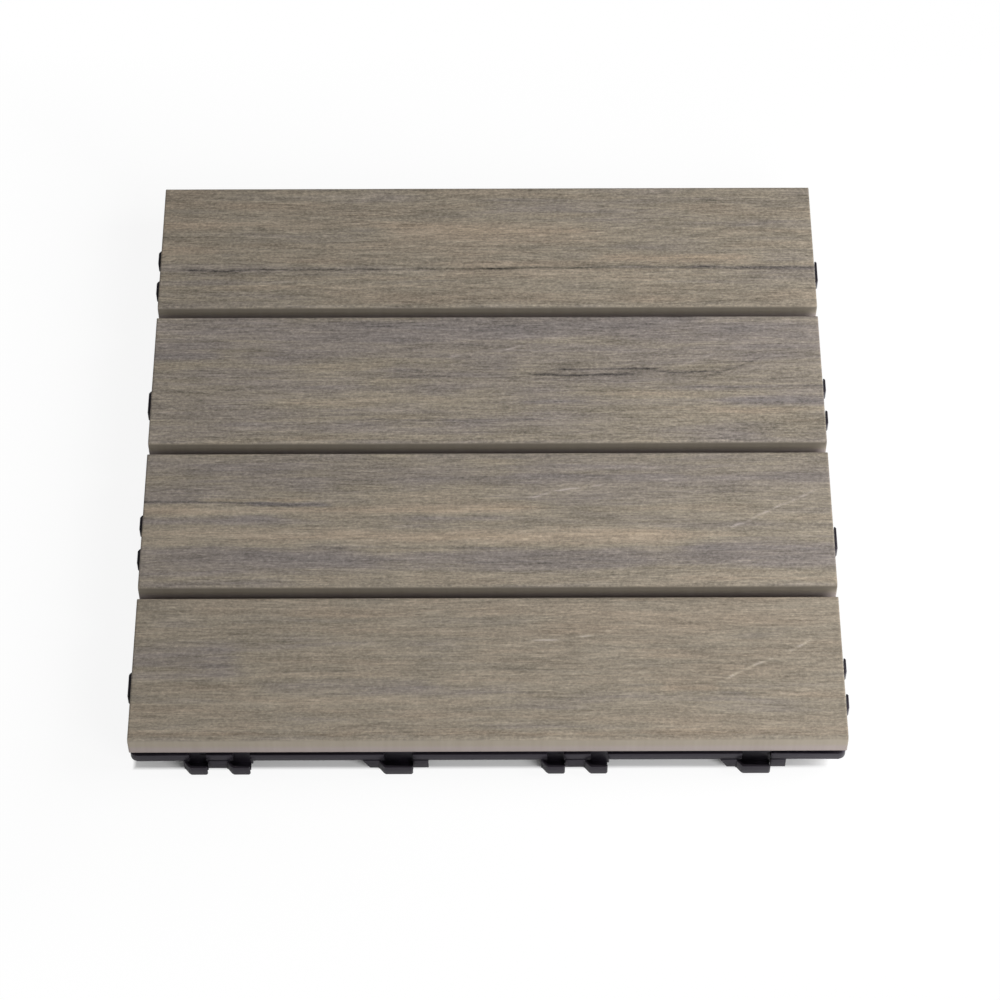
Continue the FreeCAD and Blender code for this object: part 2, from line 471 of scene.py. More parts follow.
def drifting_noise(rng, x, y, length, width):
    """Random values from -1 to 1 that change over a length along the slat and a width across it."""
    along = (x - x.min()) / length
    across = (y - y.min()) / width
    rows = int(across.max()) + 2
    columns = int(along.max()) + 4
    table = rng.uniform(-1, 1, (rows, columns))
    shift = rng.uniform(0, 1, rows)

    def eased(part):
        """Share from 0 to 1 that starts and ends softly."""
        return part * part * (3 - 2 * part)

    def along_row(number):
        """Values of one row of the table, read along the slat."""
        place = along + shift[number]
        column = place.astype(int)
        part = eased(place - column)
        return table[number, column] * (1 - part) + table[number, column + 1] * part

    row = across.astype(int)
    blend = eased(across - row)
    return along_row(row) * (1 - blend) + along_row(row + 1) * blend


class Grain:
    """The printed and embossed pattern of one slat's top, as fields over its points.

    Places are in millimetres: x from the middle of the tile, y from the slat's front edge.
    """

    def __init__(self, x, y, seed):
        self.rng = np.random.default_rng(seed)
        self.x = x
        self.y = y
        self.flow = y
        self.flow = y + self.layered(WANDER_LAYERS)
        self.tone = self.layered(TONE_LAYERS)
        self.tint = self.layered(TINT_LAYERS)
        self.relief = self.layered(RELIEF_LAYERS) - RELIEF_SINK

    def noise(self, length, width):
        """Noise along the flow of the grain, which runs straight until it has wandered."""
        return drifting_noise(self.rng, self.x, self.flow, length, width)

    def layered(self, layers, factor=1.0):
        """Sum of noises of the given lengths, widths and strengths."""
        return sum(self.noise(length, width) * factor * strength for length, width, strength in layers)

    def streak(self, start, end, width, tone=0.0, tint=0.0, relief=0.0, broken=0.0, wobble=0.5):
        """A soft-edged line or band from one place to another, darker, lighter or of another tint.

        It breaks into dashes as broken goes from 0 to 1, and strays by about wobble millimetres.
        """
        (x_start, y_start), (x_end, y_end) = start, end
        part = (self.x - x_start) / (x_end - x_start)
        middle = y_start + (y_end - y_start) * part
        stray = self.layered(STRAY_LAYERS, wobble)
        apart = (self.y - middle - stray) / (width / 2)
        reached = (part > -MARK_OVERRUN) & (part < 1 + MARK_OVERRUN)
        fade = np.clip(np.minimum(part, 1 - part) * MARK_FADE + MARK_END, 0, 1) * reached
        dashes = broken * DASH_CONTRAST * self.noise(DASH_LENGTH, DASH_WIDTH)
        strength = np.exp(-apart ** 2) * fade
        strength = strength * np.clip(1 - broken + dashes + DASH_LIFT, 0, DASH_LIMIT)
        self.tone += strength * tone
        self.tint += strength * tint
        self.relief += strength * relief


def front_slat_marks(grain):
    """Marks of the front slat, placed after the photograph."""
    grain.streak((-160, 70.0), (160, 70.0), 4.0, tone=-0.07, tint=0.1)
    grain.streak((-143, 55.2), (-100, 55.4), 1.0, tone=0.11, tint=0.2, relief=0.2, broken=0.4)
    grain.streak((-135, 50.4), (-98, 53.4), 1.1, tone=-0.16)
    grain.streak((-160, 38.0), (-105, 40.0), 17.0, tone=-0.04, tint=-0.6)
    grain.streak((-100, 26.0), (-20, 26.5), 8.0, tone=-0.04, tint=-0.6)
    grain.streak((-20, 39.6), (-7, 44.4), 1.0, tone=0.18, tint=0.2, relief=0.4, broken=0.5)
    grain.streak((-14, 33.6), (-10, 36.4), 1.0, tone=0.2, relief=0.3, broken=0.2)
    grain.streak((-90, 34.0), (-48, 33.9), 0.9, tone=-0.17, relief=-0.4)
    grain.streak((-12, 34.9), (30, 34.6), 0.9, tone=-0.15, relief=-0.4)
    grain.streak((-110, 19.5), (10, 19.5), 4.0, tone=0.04, tint=0.4)
    grain.streak((-160, 5.4), (160, 5.2), 1.1, tone=0.1, tint=0.3, relief=0.2, broken=0.2)
    grain.streak((-156, 3.2), (160, 3.0), 2.0, tone=-0.14, tint=0.7, relief=-0.4, broken=0.3)
    grain.streak((16, 47.2), (52, 53.4), 0.9, tone=0.75, tint=-0.8, relief=0.5, broken=0.6, wobble=1.1)
    grain.streak((-4, 45.6), (10, 45.7), 0.9, tone=0.12, relief=0.3, broken=0.4)
    grain.streak((99, 28.0), (140, 50.8), 1.0, tone=0.75, tint=-0.8, relief=0.5, broken=0.6, wobble=1.3)
    grain.streak((21, 20.7), (50, 20.6), 0.9, tone=-0.2, relief=-0.5)
    grain.streak((73, 26.0), (97, 26.0), 5.0, tone=0.02, tint=0.6)
    grain.streak((78, 23.0), (110, 22.0), 3.0, tone=-0.05, tint=-0.6)
    grain.streak((123, 29.0), (156, 46.5), 1.3, tone=-0.15)
    grain.streak((114, 17.2), (156, 15.6), 0.9, tone=-0.16, relief=-0.4)
    grain.streak((60, 38.0), (130, 38.0), 4.0, tone=-0.03, tint=-0.3)
    grain.streak((37, 11.0), (42, 11.2), 1.4, tone=0.22, relief=0.3, broken=0.6)


def second_slat_marks(grain):
    """Marks of the second slat, placed after the photograph."""
    grain.streak((-160, 60.0), (160, 60.0), 16.0, tone=-0.03, tint=-0.35)
    grain.streak((-116, 62.3), (-108, 64.2), 0.9, tone=0.2, relief=0.4, broken=0.3)
    grain.streak((-130, 51.6), (-110, 53.8), 0.9, tone=0.18, relief=0.4, broken=0.4)
    grain.streak((-136, 49.8), (-112, 52.4), 1.0, tone=-0.15)
    grain.streak((-126, 45.8), (-76, 45.4), 2.2, tone=0.05, tint=0.9)
    grain.streak((-160, 45.5), (-96, 44.2), 1.1, tone=-0.24, tint=-0.6, relief=-0.5)
    grain.streak((-104, 43.6), (-68, 42.8), 2.2, tone=-0.2, tint=-1.2, relief=-0.5)
    grain.streak((-160, 40.2), (30, 40.5), 5.0, tone=0.08, tint=0.8)
    grain.streak((-160, 34.6), (-70, 34.4), 4.0, tone=-0.03, tint=-0.5)
    grain.streak((-72, 34.8), (40, 35.2), 3.6, tone=-0.02, tint=-0.4)
    grain.streak((-160, 26.5), (98, 26.0), 9.5, tone=0.14, tint=0.85)
    grain.streak((-160, 16.0), (160, 15.0), 9.0, tone=-0.05, tint=-0.65)
    grain.streak((-160, 20.8), (50, 20.4), 1.2, tone=-0.18, tint=-0.4, relief=-0.5, broken=0.4)
    grain.streak((-160, 5.5), (40, 5.5), 1.0, tone=0.1, tint=0.2)
    grain.streak((-142, 1.9), (-102, 1.9), 1.0, tone=-0.15)
    grain.streak((-5, 64.8), (64, 64.8), 1.4, tone=0.09, tint=0.3, broken=0.3)
    grain.streak((88, 64.8), (156, 64.8), 1.2, tone=0.08, tint=0.3, broken=0.3)
    grain.streak((-40, 57.5), (80, 58.5), 2.6, tone=-0.09, tint=-0.4)
    grain.streak((82, 55.2), (128, 57.2), 1.0, tone=0.1, broken=0.4)
    grain.streak((18, 47.4), (52, 54.0), 0.9, tone=0.8, tint=-0.8, relief=0.5, broken=0.6, wobble=1.1)
    grain.streak((-8, 46.0), (8, 47.4), 1.0, tone=0.14, tint=0.2, relief=0.3, broken=0.5)
    grain.streak((40, 43.0), (61, 47.6), 0.9, tone=-0.14)
    grain.streak((103, 28.2), (143, 51.0), 1.0, tone=0.8, tint=-0.8, relief=0.5, broken=0.6, wobble=1.3)
    grain.streak((129, 35.0), (156, 43.6), 1.2, tone=-0.14)
    grain.streak((-8, 12.9), (40, 12.9), 1.1, tone=-0.16, tint=-0.6, relief=-0.4, broken=0.3)
    grain.streak((84, 19.8), (156, 19.6), 2.6, tone=-0.1, tint=-0.8, broken=0.3)
    grain.streak((78, 4.5), (156, 3.6), 2.0, tone=0.07, tint=0.5)


def third_slat_marks(grain):
    """Marks of the third slat, placed after the photograph."""
    grain.streak((-160, 62.0), (160, 62.0), 20.0, tone=-0.005, tint=-0.55)
    grain.streak((-160, 49.5), (-120, 49.0), 4.0, tone=-0.04, tint=-0.6)
    grain.streak((-151, 62.0), (-138, 66.5), 1.0, tone=0.36, relief=0.4, broken=0.5)
    grain.streak((-20, 47.2), (22, 54.5), 1.0, tone=0.6, tint=-0.5, relief=0.4, broken=0.6, wobble=1.0)
    grain.streak((-59, 39.5), (-48, 44.0), 1.2, tone=0.16, tint=0.3, relief=0.3, broken=0.6)
    grain.streak((-52, 32.6), (-46, 37.5), 1.2, tone=0.16, tint=0.2, relief=0.3, broken=0.4)
    grain.streak((-45, 40.5), (12, 40.0), 10.0, tone=-0.06, tint=-0.5)
    grain.streak((-46, 37.0), (-13, 36.5), 1.0, tone=-0.16, tint=-0.2, relief=-0.5)
    grain.streak((-151, 28.6), (-128, 28.8), 0.9, tone=-0.17, tint=-0.1, relief=-0.4)
    grain.streak((-110, 24.5), (120, 24.5), 9.0, tone=0.04, tint=0.4)
    grain.streak((-60, 12.7), (38, 12.6), 1.3, tone=-0.1, tint=-0.7, relief=-0.3, broken=0.5)
    grain.streak((14, 22.8), (44, 22.8), 1.6, tone=-0.06, tint=-0.8, broken=0.4)
    grain.streak((29, 40.9), (78, 40.6), 1.1, tone=-0.4, tint=-0.4, relief=-0.8)
    grain.streak((19, 37.6), (66, 37.8), 1.3, tone=-0.42, tint=-0.4, relief=-0.8)
    grain.streak((74, 39.4), (104, 38.8), 1.0, tone=-0.34, tint=-0.3, relief=-0.6)
    grain.streak((70, 30.2), (156, 31.2), 1.2, tone=-0.2, tint=-0.4, relief=-0.5, broken=0.3)
    grain.streak((95, 34.5), (124, 47.5), 1.1, tone=-0.28, tint=-0.1, relief=-0.5)
    grain.streak((122, 47.0), (156, 49.0), 1.0, tone=-0.1)
    grain.streak((82, 40.6), (105, 50.8), 0.9, tone=0.6, tint=-0.5, relief=0.4, broken=0.6, wobble=1.0)
    grain.streak((70, 32.0), (79, 34.6), 0.9, tone=0.16, relief=0.4, broken=0.4)
    grain.streak((104, 23.4), (156, 23.0), 4.0, tone=-0.05, tint=-0.8)
    grain.streak((96, 17.0), (156, 18.5), 3.0, tone=0.03, tint=0.6)
    grain.streak((106, 66.0), (156, 65.5), 1.0, tone=-0.16, relief=-0.3)
    grain.streak((10, 36.0), (160, 36.0), 16.0, tone=-0.05, tint=-0.15)


def rear_slat_marks(grain):
    """Marks of the rear slat, placed after the photograph."""
    grain.streak((-139, 21.9), (-111, 21.8), 1.7, tone=-0.42, tint=-0.3, relief=-0.9)
    grain.streak((-116, 21.9), (-50, 22.5), 1.2, tone=-0.36, tint=-0.1, relief=-0.6)
    grain.streak((-58, 22.5), (8, 22.5), 1.4, tone=-0.42, tint=-0.1, relief=-0.8)
    grain.streak((0, 22.6), (50, 23.2), 1.4, tone=-0.4, tint=-0.2, relief=-0.8)
    grain.streak((42, 23.4), (100, 23.4), 1.7, tone=-0.34, tint=-0.6, relief=-0.8)
    grain.streak((94, 23.2), (160, 22.2), 2.2, tone=-0.36, tint=-1.0, relief=-0.8)
    grain.streak((-139, 19.4), (-60, 19.2), 2.4, tone=-0.12, tint=-0.4)
    grain.streak((-160, 48.5), (-95, 49.0), 4.0, tone=0.05, tint=0.6)
    grain.streak((-49, 46.0), (52, 43.5), 8.0, tone=0.05, tint=0.8)
    grain.streak((48, 29.0), (124, 29.0), 3.6, tone=0.06, tint=0.8)
    grain.streak((-160, 31.0), (-122, 31.0), 7.0, tone=-0.02, tint=0.5)
    grain.streak((76, 62.5), (156, 63.0), 0.9, tone=-0.16)
    grain.streak((35, 40.6), (97, 52.7), 1.0, tone=0.32, relief=0.4, broken=0.6)
    grain.streak((87, 39.8), (116, 48.0), 1.4, tone=-0.13, tint=-0.2)
    grain.streak((112, 47.0), (156, 51.5), 1.6, tone=-0.1, tint=-0.3)
    grain.streak((-75, 49.0), (-22, 56.0), 1.2, tone=-0.1)
    grain.streak((-117, 8.6), (-110, 9.0), 1.6, tone=0.3, relief=0.4, broken=0.7)


# Marks, extra tone, extra warmth and contrast of each slat, from the front one to the rear one
SLAT_LOOKS = [
    (front_slat_marks, -0.05, 0.1, 0.78),
    (second_slat_marks, -0.025, -0.2, 0.9),
    (third_slat_marks, -0.03, -0.35, 1.0),
    (rear_slat_marks, -0.045, 0.1, 1.0),
]


def arc(centre_y, centre_z, radius, start, turn, steps):
    """Points of a rounded edge in the slat's section, without its last point."""
    points = []
    for step in range(steps):
        angle = math.radians(start + turn * step / steps)
        points.append((centre_y + radius * math.cos(angle), centre_z + radius * math.sin(angle)))
    return points


def line(start, end, step):
    """Evenly spaced points of a straight stretch, without its last point."""
    start = np.array(start)
    end = np.array(end)
    count = max(1, round(float(np.linalg.norm(end - start)) / step))
    return [tuple(start + (end - start) * number / count) for number in range(count)]


def slat_section(low, high):
    """Outline of a slat across its length, anticlockwise from the bottom of its front side."""
    front, back = low.y, high.y
    bottom, top = low.z, high.z
    small, large = BOTTOM_RADIUS, TOP_RADIUS
    points = line((front + small, bottom), (back - small, bottom), UNDERSIDE_STEP)
    points += arc(back - small, bottom + small, small, -90, 90, BOTTOM_ARC_STEPS)
    points += line((back, bottom + small), (back, top - large), SIDE_STEP)
    points += arc(back - large, top - large, large, 0, 90, TOP_ARC_STEPS)
    points += line((back - large, top), (front + large, top), ROW_STEP)
    points += arc(front + large, top - large, large, 90, 90, TOP_ARC_STEPS)
    points += line((front, top - large), (front, bottom + small), SIDE_STEP)
    points += arc(front + small, bottom + small, small, 180, 90, BOTTOM_ARC_STEPS)
    return np.array(points)


def inset(outline, distance):
    """Outline moved inwards by a distance; it runs anticlockwise."""
    along = np.roll(outline, -1, axis=0) - np.roll(outline, 1, axis=0)
    along /= np.linalg.norm(along, axis=1)[:, None]
    return outline + np.column_stack([-along[:, 1], along[:, 0]]) * distance


def slat_points(section, low, high):
    """Fields of x, y and z over a slat's rings of points, with a narrow chamfer at both ends."""
    columns = round((high.x - low.x) / COLUMN_STEP)
    even = np.linspace(low.x, high.x, columns + 1)
    stations = np.concatenate((
        [low.x, low.x + END_CHAMFER],
        even[1:-1],
        [high.x - END_CHAMFER, high.x],
    ))
    rings = np.tile(section, (len(stations), 1, 1))
    middle = np.array([(low.y + high.y) / 2, (low.z + high.z) / 2])
    for end in (0, -1):
        rings[end] -= np.sign(section - middle) * END_CHAMFER
    x = np.repeat(stations[:, None], len(section), axis=1)
    return x, rings[:, :, 0], rings[:, :, 1]


def ring_band(first, second, rows):
    """Faces between two rings of points, each given by the number of its first point."""
    band = []
    for row in range(rows):
        following = (row + 1) % rows
        band.append((first + row, first + following, second + following, second + row))
    return band


def slat_faces(count, rows):
    """Faces of a slat's rings and sawn ends, and the numbers of its two core faces.

    The rings around the cores come after the rings along the slat.
    """
    faces = []
    for ring in range(count - 1):
        faces += ring_band(ring * rows, (ring + 1) * rows, rows)
    cores = []
    for end, core_ring, side in ((0, count, -1), (count - 1, count + 1, 1)):
        first = core_ring * rows
        faces += [face[::side] for face in ring_band(end * rows, first, rows)]
        cores.append(len(faces))
        faces.append(tuple(range(first, first + rows))[::side])
    return faces, cores


def set_fields(mesh, fields):
    """Attributes that a material reads, from fields over the rings; the core rings get zero."""
    for name, field in fields.items():
        values = np.zeros(len(mesh.vertices), np.float32)
        values[:field.size] = field.ravel()
        attribute = mesh.attributes.new(name, "FLOAT", "POINT")
        attribute.data.foreach_set("value", values)


def slat_board(number, looks, cap, core):
    """One slat with its embossed top, square-sawn ends and rounded long edges."""
    node = "slat_%d" % number
    low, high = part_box(node)
    section = slat_section(low, high)
    x, y, z = slat_points(section, low, high)
    count, rows = x.shape

    add_marks, tone, warmth, contrast = looks
    grain = Grain(x / MM, (y - low.y) / MM, GRAIN_SEED + number)
    add_marks(grain)
    rise = (z - (high.z - TOP_RADIUS)) / TOP_RADIUS
    top = np.clip(rise * PRINT_FADE - PRINT_START, 0, 1)
    relief = np.clip(grain.relief, DEEPEST_RELIEF, 0.0) * GRAIN_DEPTH * top

    rings = np.stack([x, y, z + relief], -1).reshape(-1, 3)
    outline = inset(section, CAP_THICKNESS)
    core_rings = [np.column_stack([np.full(rows, end), outline]) for end in (x[0, 0], x[-1, 0])]
    points = np.concatenate([rings] + core_rings)
    faces, cores = slat_faces(count, rows)
    board = mesh_object(node + "_board", points.tolist(), faces, [cap, core])
    for index in cores:
        board.data.polygons[index].material_index = 1
    board.data.set_sharp_from_angle(angle=SLAT_CREASE)
    set_fields(board.data, {
        "flow": grain.flow * MM + number * SLAT_SHIFT,
        "tone": (grain.tone + tone) * top,
        "tint": (grain.tint + warmth) * top,
        "top": top,
        "contrast": contrast * top,
    })
    ride_as(board, "composite", node)


def add_prism(shape, outline, low, high, place=UPRIGHT, soft=0.0):
    """Closed prism of an outline, whose edges may be softened by a small round."""
    rings = [[shape.verts.new(place @ Vector((u, v, w))) for u, v in outline] for w in (low, high)]
    faces = [shape.faces.new(rings[0][::-1]), shape.faces.new(rings[1])]
    for number in range(len(outline)):
        before = number - 1
        corners = (rings[0][before], rings[0][number], rings[1][number], rings[1][before])
        faces.append(shape.faces.new(corners))
    if soft:
        edges = list(dict.fromkeys(edge for face in faces for edge in face.edges))
        bmesh.ops.bevel(
            shape, geom=edges, offset=soft, segments=2, profile=0.5, affect="EDGES", clamp_overlap=True
        )


def rectangle(left, right, low, high):
    """Outline of an upright or level rectangle, anticlockwise."""
    return [(left, low), (right, low), (right, high), (left, high)]


def rounded_corner(half, radius):
    """Quarter-turn arc at the corner (half, -half) of an anticlockwise outline."""
    points = []
    for step in range(CORNER_STEPS + 1):
        angle = math.radians(-90 + 90 * step / CORNER_STEPS)
        x = half - radius + radius * math.cos(angle)
        points.append((x, -half + radius + radius * math.sin(angle)))
    return points


def add_ring(shape, x, y, height, radii):
    """Level ring of points about an upright axis, with a radius for each of its steps."""
    ring = []
    for step, radius in enumerate(radii):
        angle = 2 * math.pi * step / len(radii)
        place = (x + radius * math.cos(angle), y + radius * math.sin(angle), height)
        ring.append(shape.verts.new(place))
    return ring


def join_rings(shape, first, second):
    """Smooth faces between two rings of points."""
    for step in range(len(first)):
        before = step - 1
        face = shape.faces.new((first[before], first[step], second[step], second[before]))
        face.smooth = True


def add_revolved(shape, x, y, profile, steps):
    """Round skin about an upright axis from a profile of (radius, height)."""
    rings = [add_ring(shape, x, y, height, [radius] * steps) for radius, height in profile]
    for first, second in zip(rings, rings[1:]):
        join_rings(shape, first, second)
    return rings


def put_in_order(shape):
    """Sort points by place, and edges and faces by their points, since a bevel orders them by chance."""
    for rank, vert in enumerate(sorted(shape.verts, key=lambda vert: vert.co[:])):
        vert.index = rank
    for items in (shape.edges, shape.faces):
        ordered = sorted(items, key=lambda item: sorted(vert.index for vert in item.verts))
        for rank, item in enumerate(ordered):
            item.index = rank
    for items in (shape.verts, shape.edges, shape.faces):
        items.sort()


def shape_object(name, shape, finish, crease):
    """Object of a shape that was built in millimetres."""
    put_in_order(shape)
    bmesh.ops.remove_doubles(shape, verts=shape.verts, dist=WELD)
    put_in_order(shape)
    bmesh.ops.recalc_face_normals(shape, faces=shape.faces)
    bmesh.ops.scale(shape, vec=(MM, MM, MM), verts=shape.verts)
    mesh = bpy.data.meshes.new(name)
    shape.to_mesh(mesh)
    shape.free()
    mesh.materials.append(finish)
    mesh.set_sharp_from_angle(angle=crease)
    return link_object(name, mesh)


def add_hook(shape, left, right, place):
    """Hook of the front side: slanted arm, lip, the arm's root on the rim, the heel and its sole."""
    root = left - HOOK_SLANT
    arm = HOOK_WALL * math.hypot(HOOK_SLANT, HOOK_REACH) / HOOK_REACH
    lip_depth = HOOK_REACH - HOOK_WALL
    outer = -HALF - HOOK_REACH
    outline = [
        (root, -HALF),
        (left - HOOK_CUT / 2, outer + HOOK_CUT),
        (left + HOOK_CUT, outer),
        (right - HOOK_CUT, outer),
        (right, outer + HOOK_CUT),
        (right, -HALF - lip_depth),
        (root + arm + HOOK_SLANT * lip_depth / HOOK_REACH, -HALF - lip_depth),
        (root + arm, -HALF),
    ]
    add_prism(shape, outline, HOOK_BOTTOM, HOOK_TOP, place, HOOK_SOFTNESS)
    inside = -HALF + SKIRT_WALL - SKIRT_PROUD
    arm_root = rectangle(root, root + arm, -HALF - ROOT_OVERLAP, inside)
    add_prism(shape, arm_root, HOOK_BOTTOM, RIM_BOTTOM + RIM_OVERLAP, place)
    heel = rectangle(root, right + HEEL_MARGIN, -RIM_INSIDE, -HEEL_BACK)
    add_prism(shape, heel, 0, BASE_TOP, place, HEEL_SOFTNESS)
    sole = rectangle(root + HOOK_WALL, right, -HALF, -RIM_INSIDE + SOLE_OVERLAP)
    add_prism(shape, sole, 0, SOLE_HEIGHT, place)


def add_skirt(shape, left, right, slope, place):
    """Thin wall under the rim of the front side, with a slanted left end if it has a slope."""
    top = RIM_BOTTOM + RIM_OVERLAP
    outline = [(left, top), (left + slope, SKIRT_BOTTOM), (right, SKIRT_BOTTOM), (right, top)]
    if slope:
        outline.insert(1, (left, RIM_BOTTOM))
    outside = -HALF - SKIRT_PROUD
    add_prism(shape, outline, outside, outside + SKIRT_WALL, place @ ALONG_Y, SKIRT_SOFTNESS)


def tab_places():
    """Middle of each tab along a side, and whether it is a twin."""
    return [((number - (TABS - 1) / 2) * TAB_SPACING, number % 2 == 0) for number in range(TABS)]


def add_tabs(shape, turn):
    """Hooks and skirts of one side's tabs."""
    for middle, twin in tab_places():
        place = turn @ Matrix.Translation((middle, 0, 0))
        if twin:
            add_hook(shape, -TWIN_OUTER, -TWIN_INNER, place)
            add_hook(shape, TWIN_INNER, TWIN_OUTER, place)
            add_skirt(shape, -TWIN_INNER, TWIN_INNER - HOOK_SLANT, 0, place)
        else:
            add_hook(shape, -SINGLE_HALF, SINGLE_HALF, place)
            arm_end = -SINGLE_HALF - HOOK_SLANT + HOOK_WALL
            add_skirt(shape, -SKIRT_REACH - HOOK_SLANT, arm_end, SKIRT_SLOPE, place)
            add_skirt(shape, SINGLE_HALF, SKIRT_REACH, 0, place)


def side_windows():
    """Openings along a side's rim above its hooks."""
    openings = []
    for middle, twin in tab_places():
        if twin:
            openings.append((middle - TWIN_OUTER, middle - TWIN_INNER - WINDOW_INSET))
            openings.append((middle + TWIN_INNER + WINDOW_INSET, middle + TWIN_OUTER))
        else:
            openings.append((middle - SINGLE_HALF, middle + SINGLE_HALF))
    return openings


def add_rim(shape, turn):
    """One side's share of the rim: the stretches between its windows, a corner and the ledge."""
    openings = side_windows()
    for (_, left), (right, _) in zip(openings, openings[1:]):
        stretch = rectangle(left, right, -HALF, -RIM_INSIDE)
        add_prism(shape, stretch, RIM_BOTTOM, GROOVE_FLOOR, turn, RIM_SOFTNESS)
    last = openings[-1][1]
    first = openings[0][0]
    corner = [(last, -HALF)] + rounded_corner(HALF, RIM_CORNER)
    corner += [(HALF, first), (RIM_INSIDE, first), (RIM_INSIDE, -RIM_INSIDE), (last, -RIM_INSIDE)]
    add_prism(shape, corner, RIM_BOTTOM, GROOVE_FLOOR, turn, RIM_SOFTNESS)
    ledge = [(0, -GROOVE_FACE)] + rounded_corner(GROOVE_FACE, LEDGE_CORNER)
    ledge += [(GROOVE_FACE, 0), (RIM_INSIDE, 0), (RIM_INSIDE, -RIM_INSIDE), (0, -RIM_INSIDE)]
    add_prism(shape, ledge, GROOVE_FLOOR - LEDGE_SINK, BASE_TOP, turn)


def add_ribs(shape):
    """Rib grid from rim to rim; below the rim the ribs stop short of its inside."""
    outline = [
        (-RIM_INSIDE, RIM_BOTTOM),
        (-LOW_EDGE, RIM_BOTTOM),
        (-LOW_EDGE, RIB_BOTTOM),
        (LOW_EDGE, RIB_BOTTOM),
        (LOW_EDGE, RIM_BOTTOM),
        (RIM_INSIDE, RIM_BOTTOM),
        (RIM_INSIDE, BASE_TOP),
        (-RIM_INSIDE, BASE_TOP),
    ]
    for outer, pitch, place in ((OUTER_COLUMN, COLUMN_PITCH, ALONG_X), (OUTER_ROW, ROW_PITCH, ALONG_Y)):
        for number in range(-outer, outer + 1):
            middle = number * pitch
            add_prism(shape, outline, middle - RIB_WIDTH / 2, middle + RIB_WIDTH / 2, place, RIB_SOFTNESS)


def add_feet(shape):
    """Hollow round feet with rounded lower edges, bored through their roofs where a screw passes."""
    outside = [
        (FOOT_RADIUS - FOOT_ROUND, 0),
        (FOOT_RADIUS - FOOT_ROUND_MIDDLE, FOOT_ROUND_MIDDLE),
        (FOOT_RADIUS, FOOT_ROUND),
        (FOOT_RADIUS, BASE_TOP),
    ]
    inside = [
        (FOOT_BORE, SCREW_SEAT),
        (FOOT_BORE, FOOT_ROUND),
        (FOOT_BORE + FOOT_ROUND_MIDDLE, FOOT_ROUND_MIDDLE),
        (FOOT_BORE + FOOT_ROUND, 0),
    ]
    for column in FOOT_COLUMNS:
        hole = SCREW_HOLE if column in SCREW_COLUMNS else 0.0
        profile = outside + [(hole, BASE_TOP), (hole, SCREW_SEAT)] + inside
        for row in FOOT_ROWS:
            rings = add_revolved(shape, column * COLUMN_PITCH, row * ROW_PITCH, profile, FOOT_AROUND)
            join_rings(shape, rings[-1], rings[0])


def base_moulding(plastic):
    """The base with softened edges, round feet and bored roofs."""
    shape = bmesh.new()
    for side in range(4):
        turn = Matrix.Rotation(math.radians(90 * side), 4, "Z")
        add_rim(shape, turn)
        add_tabs(shape, turn)
    add_ribs(shape)
    add_feet(shape)
    piece = shape_object("base_moulding", shape, plastic, BASE_CREASE)
    ride_as(piece, "base_plastic", "base_grid")


def add_cross(shape, x, y, turn, circle):
    """Flat crown of a screw head with a cross recess, inside a circle of corner points."""
    cross = []
    for step in range(4):
        angle = turn + math.pi / 2 * step
        for u, v in ((CROSS_REACH, -CROSS_HALF), (CROSS_REACH, CROSS_HALF), (CROSS_HALF, CROSS_HALF)):
            cross.append((
                x + u * math.cos(angle) - v * math.sin(angle),
                y + u * math.sin(angle) + v * math.cos(angle),
            ))
    edge = [shape.verts.new((px, py, HEAD_BOTTOM)) for px, py in cross]
    loops = [[Vector((vert.co.x, vert.co.y, 0)) for vert in loop] for loop in (circle, edge)]
    corners = circle + edge
    for triangle in tessellate_polygon(loops):
        shape.faces.new([corners[index] for index in triangle])
    deep = []
    for px, py in cross:
        place = (x + (px - x) * CROSS_NARROWING, y + (py - y) * CROSS_NARROWING, HEAD_BOTTOM + CROSS_DEPTH)
        deep.append(shape.verts.new(place))
    for number in range(len(edge)):
        before = number - 1
        shape.faces.new((edge[before], edge[number], deep[number], deep[before]))
    shape.faces.new(deep)


def screw_radius(height, angle):
    """Radius of the threaded and pointed shank at a height and an angle."""
    full = SHANK_RADIUS
    if height >= TAPER_START:
        left = (SCREW_TIP - height) / (SCREW_TIP - TAPER_START)
        full = TIP_RADIUS + (SHANK_RADIUS - TIP_RADIUS) * left
    if height < THREAD_START:
        return full
    phase = (height - THREAD_START) / THREAD_PITCH - angle / (2 * math.pi)
    wave = abs(2 * (phase - math.floor(phase)) - 1)
    ridge = max(0.0, (wave - THREAD_FLAT) / (1 - THREAD_FLAT))
    return full * (THREAD_ROOT + (1 - THREAD_ROOT) * ridge)


def add_screw(shape, x, y, turn):
    """Pan-head screw with a cross recess and a rolled thread, point upwards."""
    head = HEAD_PROFILE + [(HEAD_RADIUS, SCREW_SEAT), (SHANK_RADIUS, SCREW_SEAT)]
    rings = add_revolved(shape, x, y, head, SCREW_AROUND)
    add_cross(shape, x, y, turn, rings[0])
    angles = [2 * math.pi * step / SCREW_AROUND for step in range(SCREW_AROUND)]
    before = rings[-1]
    for height in np.arange(SCREW_SEAT + THREAD_STEP, SCREW_TIP + THREAD_STEP / 2, THREAD_STEP):
        ring = add_ring(shape, x, y, height, [screw_radius(height, angle) for angle in angles])
        join_rings(shape, before, ring)
        before = ring
    shape.faces.new(before)


def screws(zinc):
    """All screws, each turned by chance, as one piece."""
    shape = bmesh.new()
    rng = np.random.default_rng(SCREW_SEED)
    for column in SCREW_COLUMNS:
        for row in FOOT_ROWS:
            turn = rng.uniform(0, math.pi / 2)
            add_screw(shape, column * COLUMN_PITCH, row * ROW_PITCH, turn)
    piece = shape_object("pan_head_screws", shape, zinc, SCREW_CREASE)
    ride_as(piece, "screw_steel", "slat_screws")


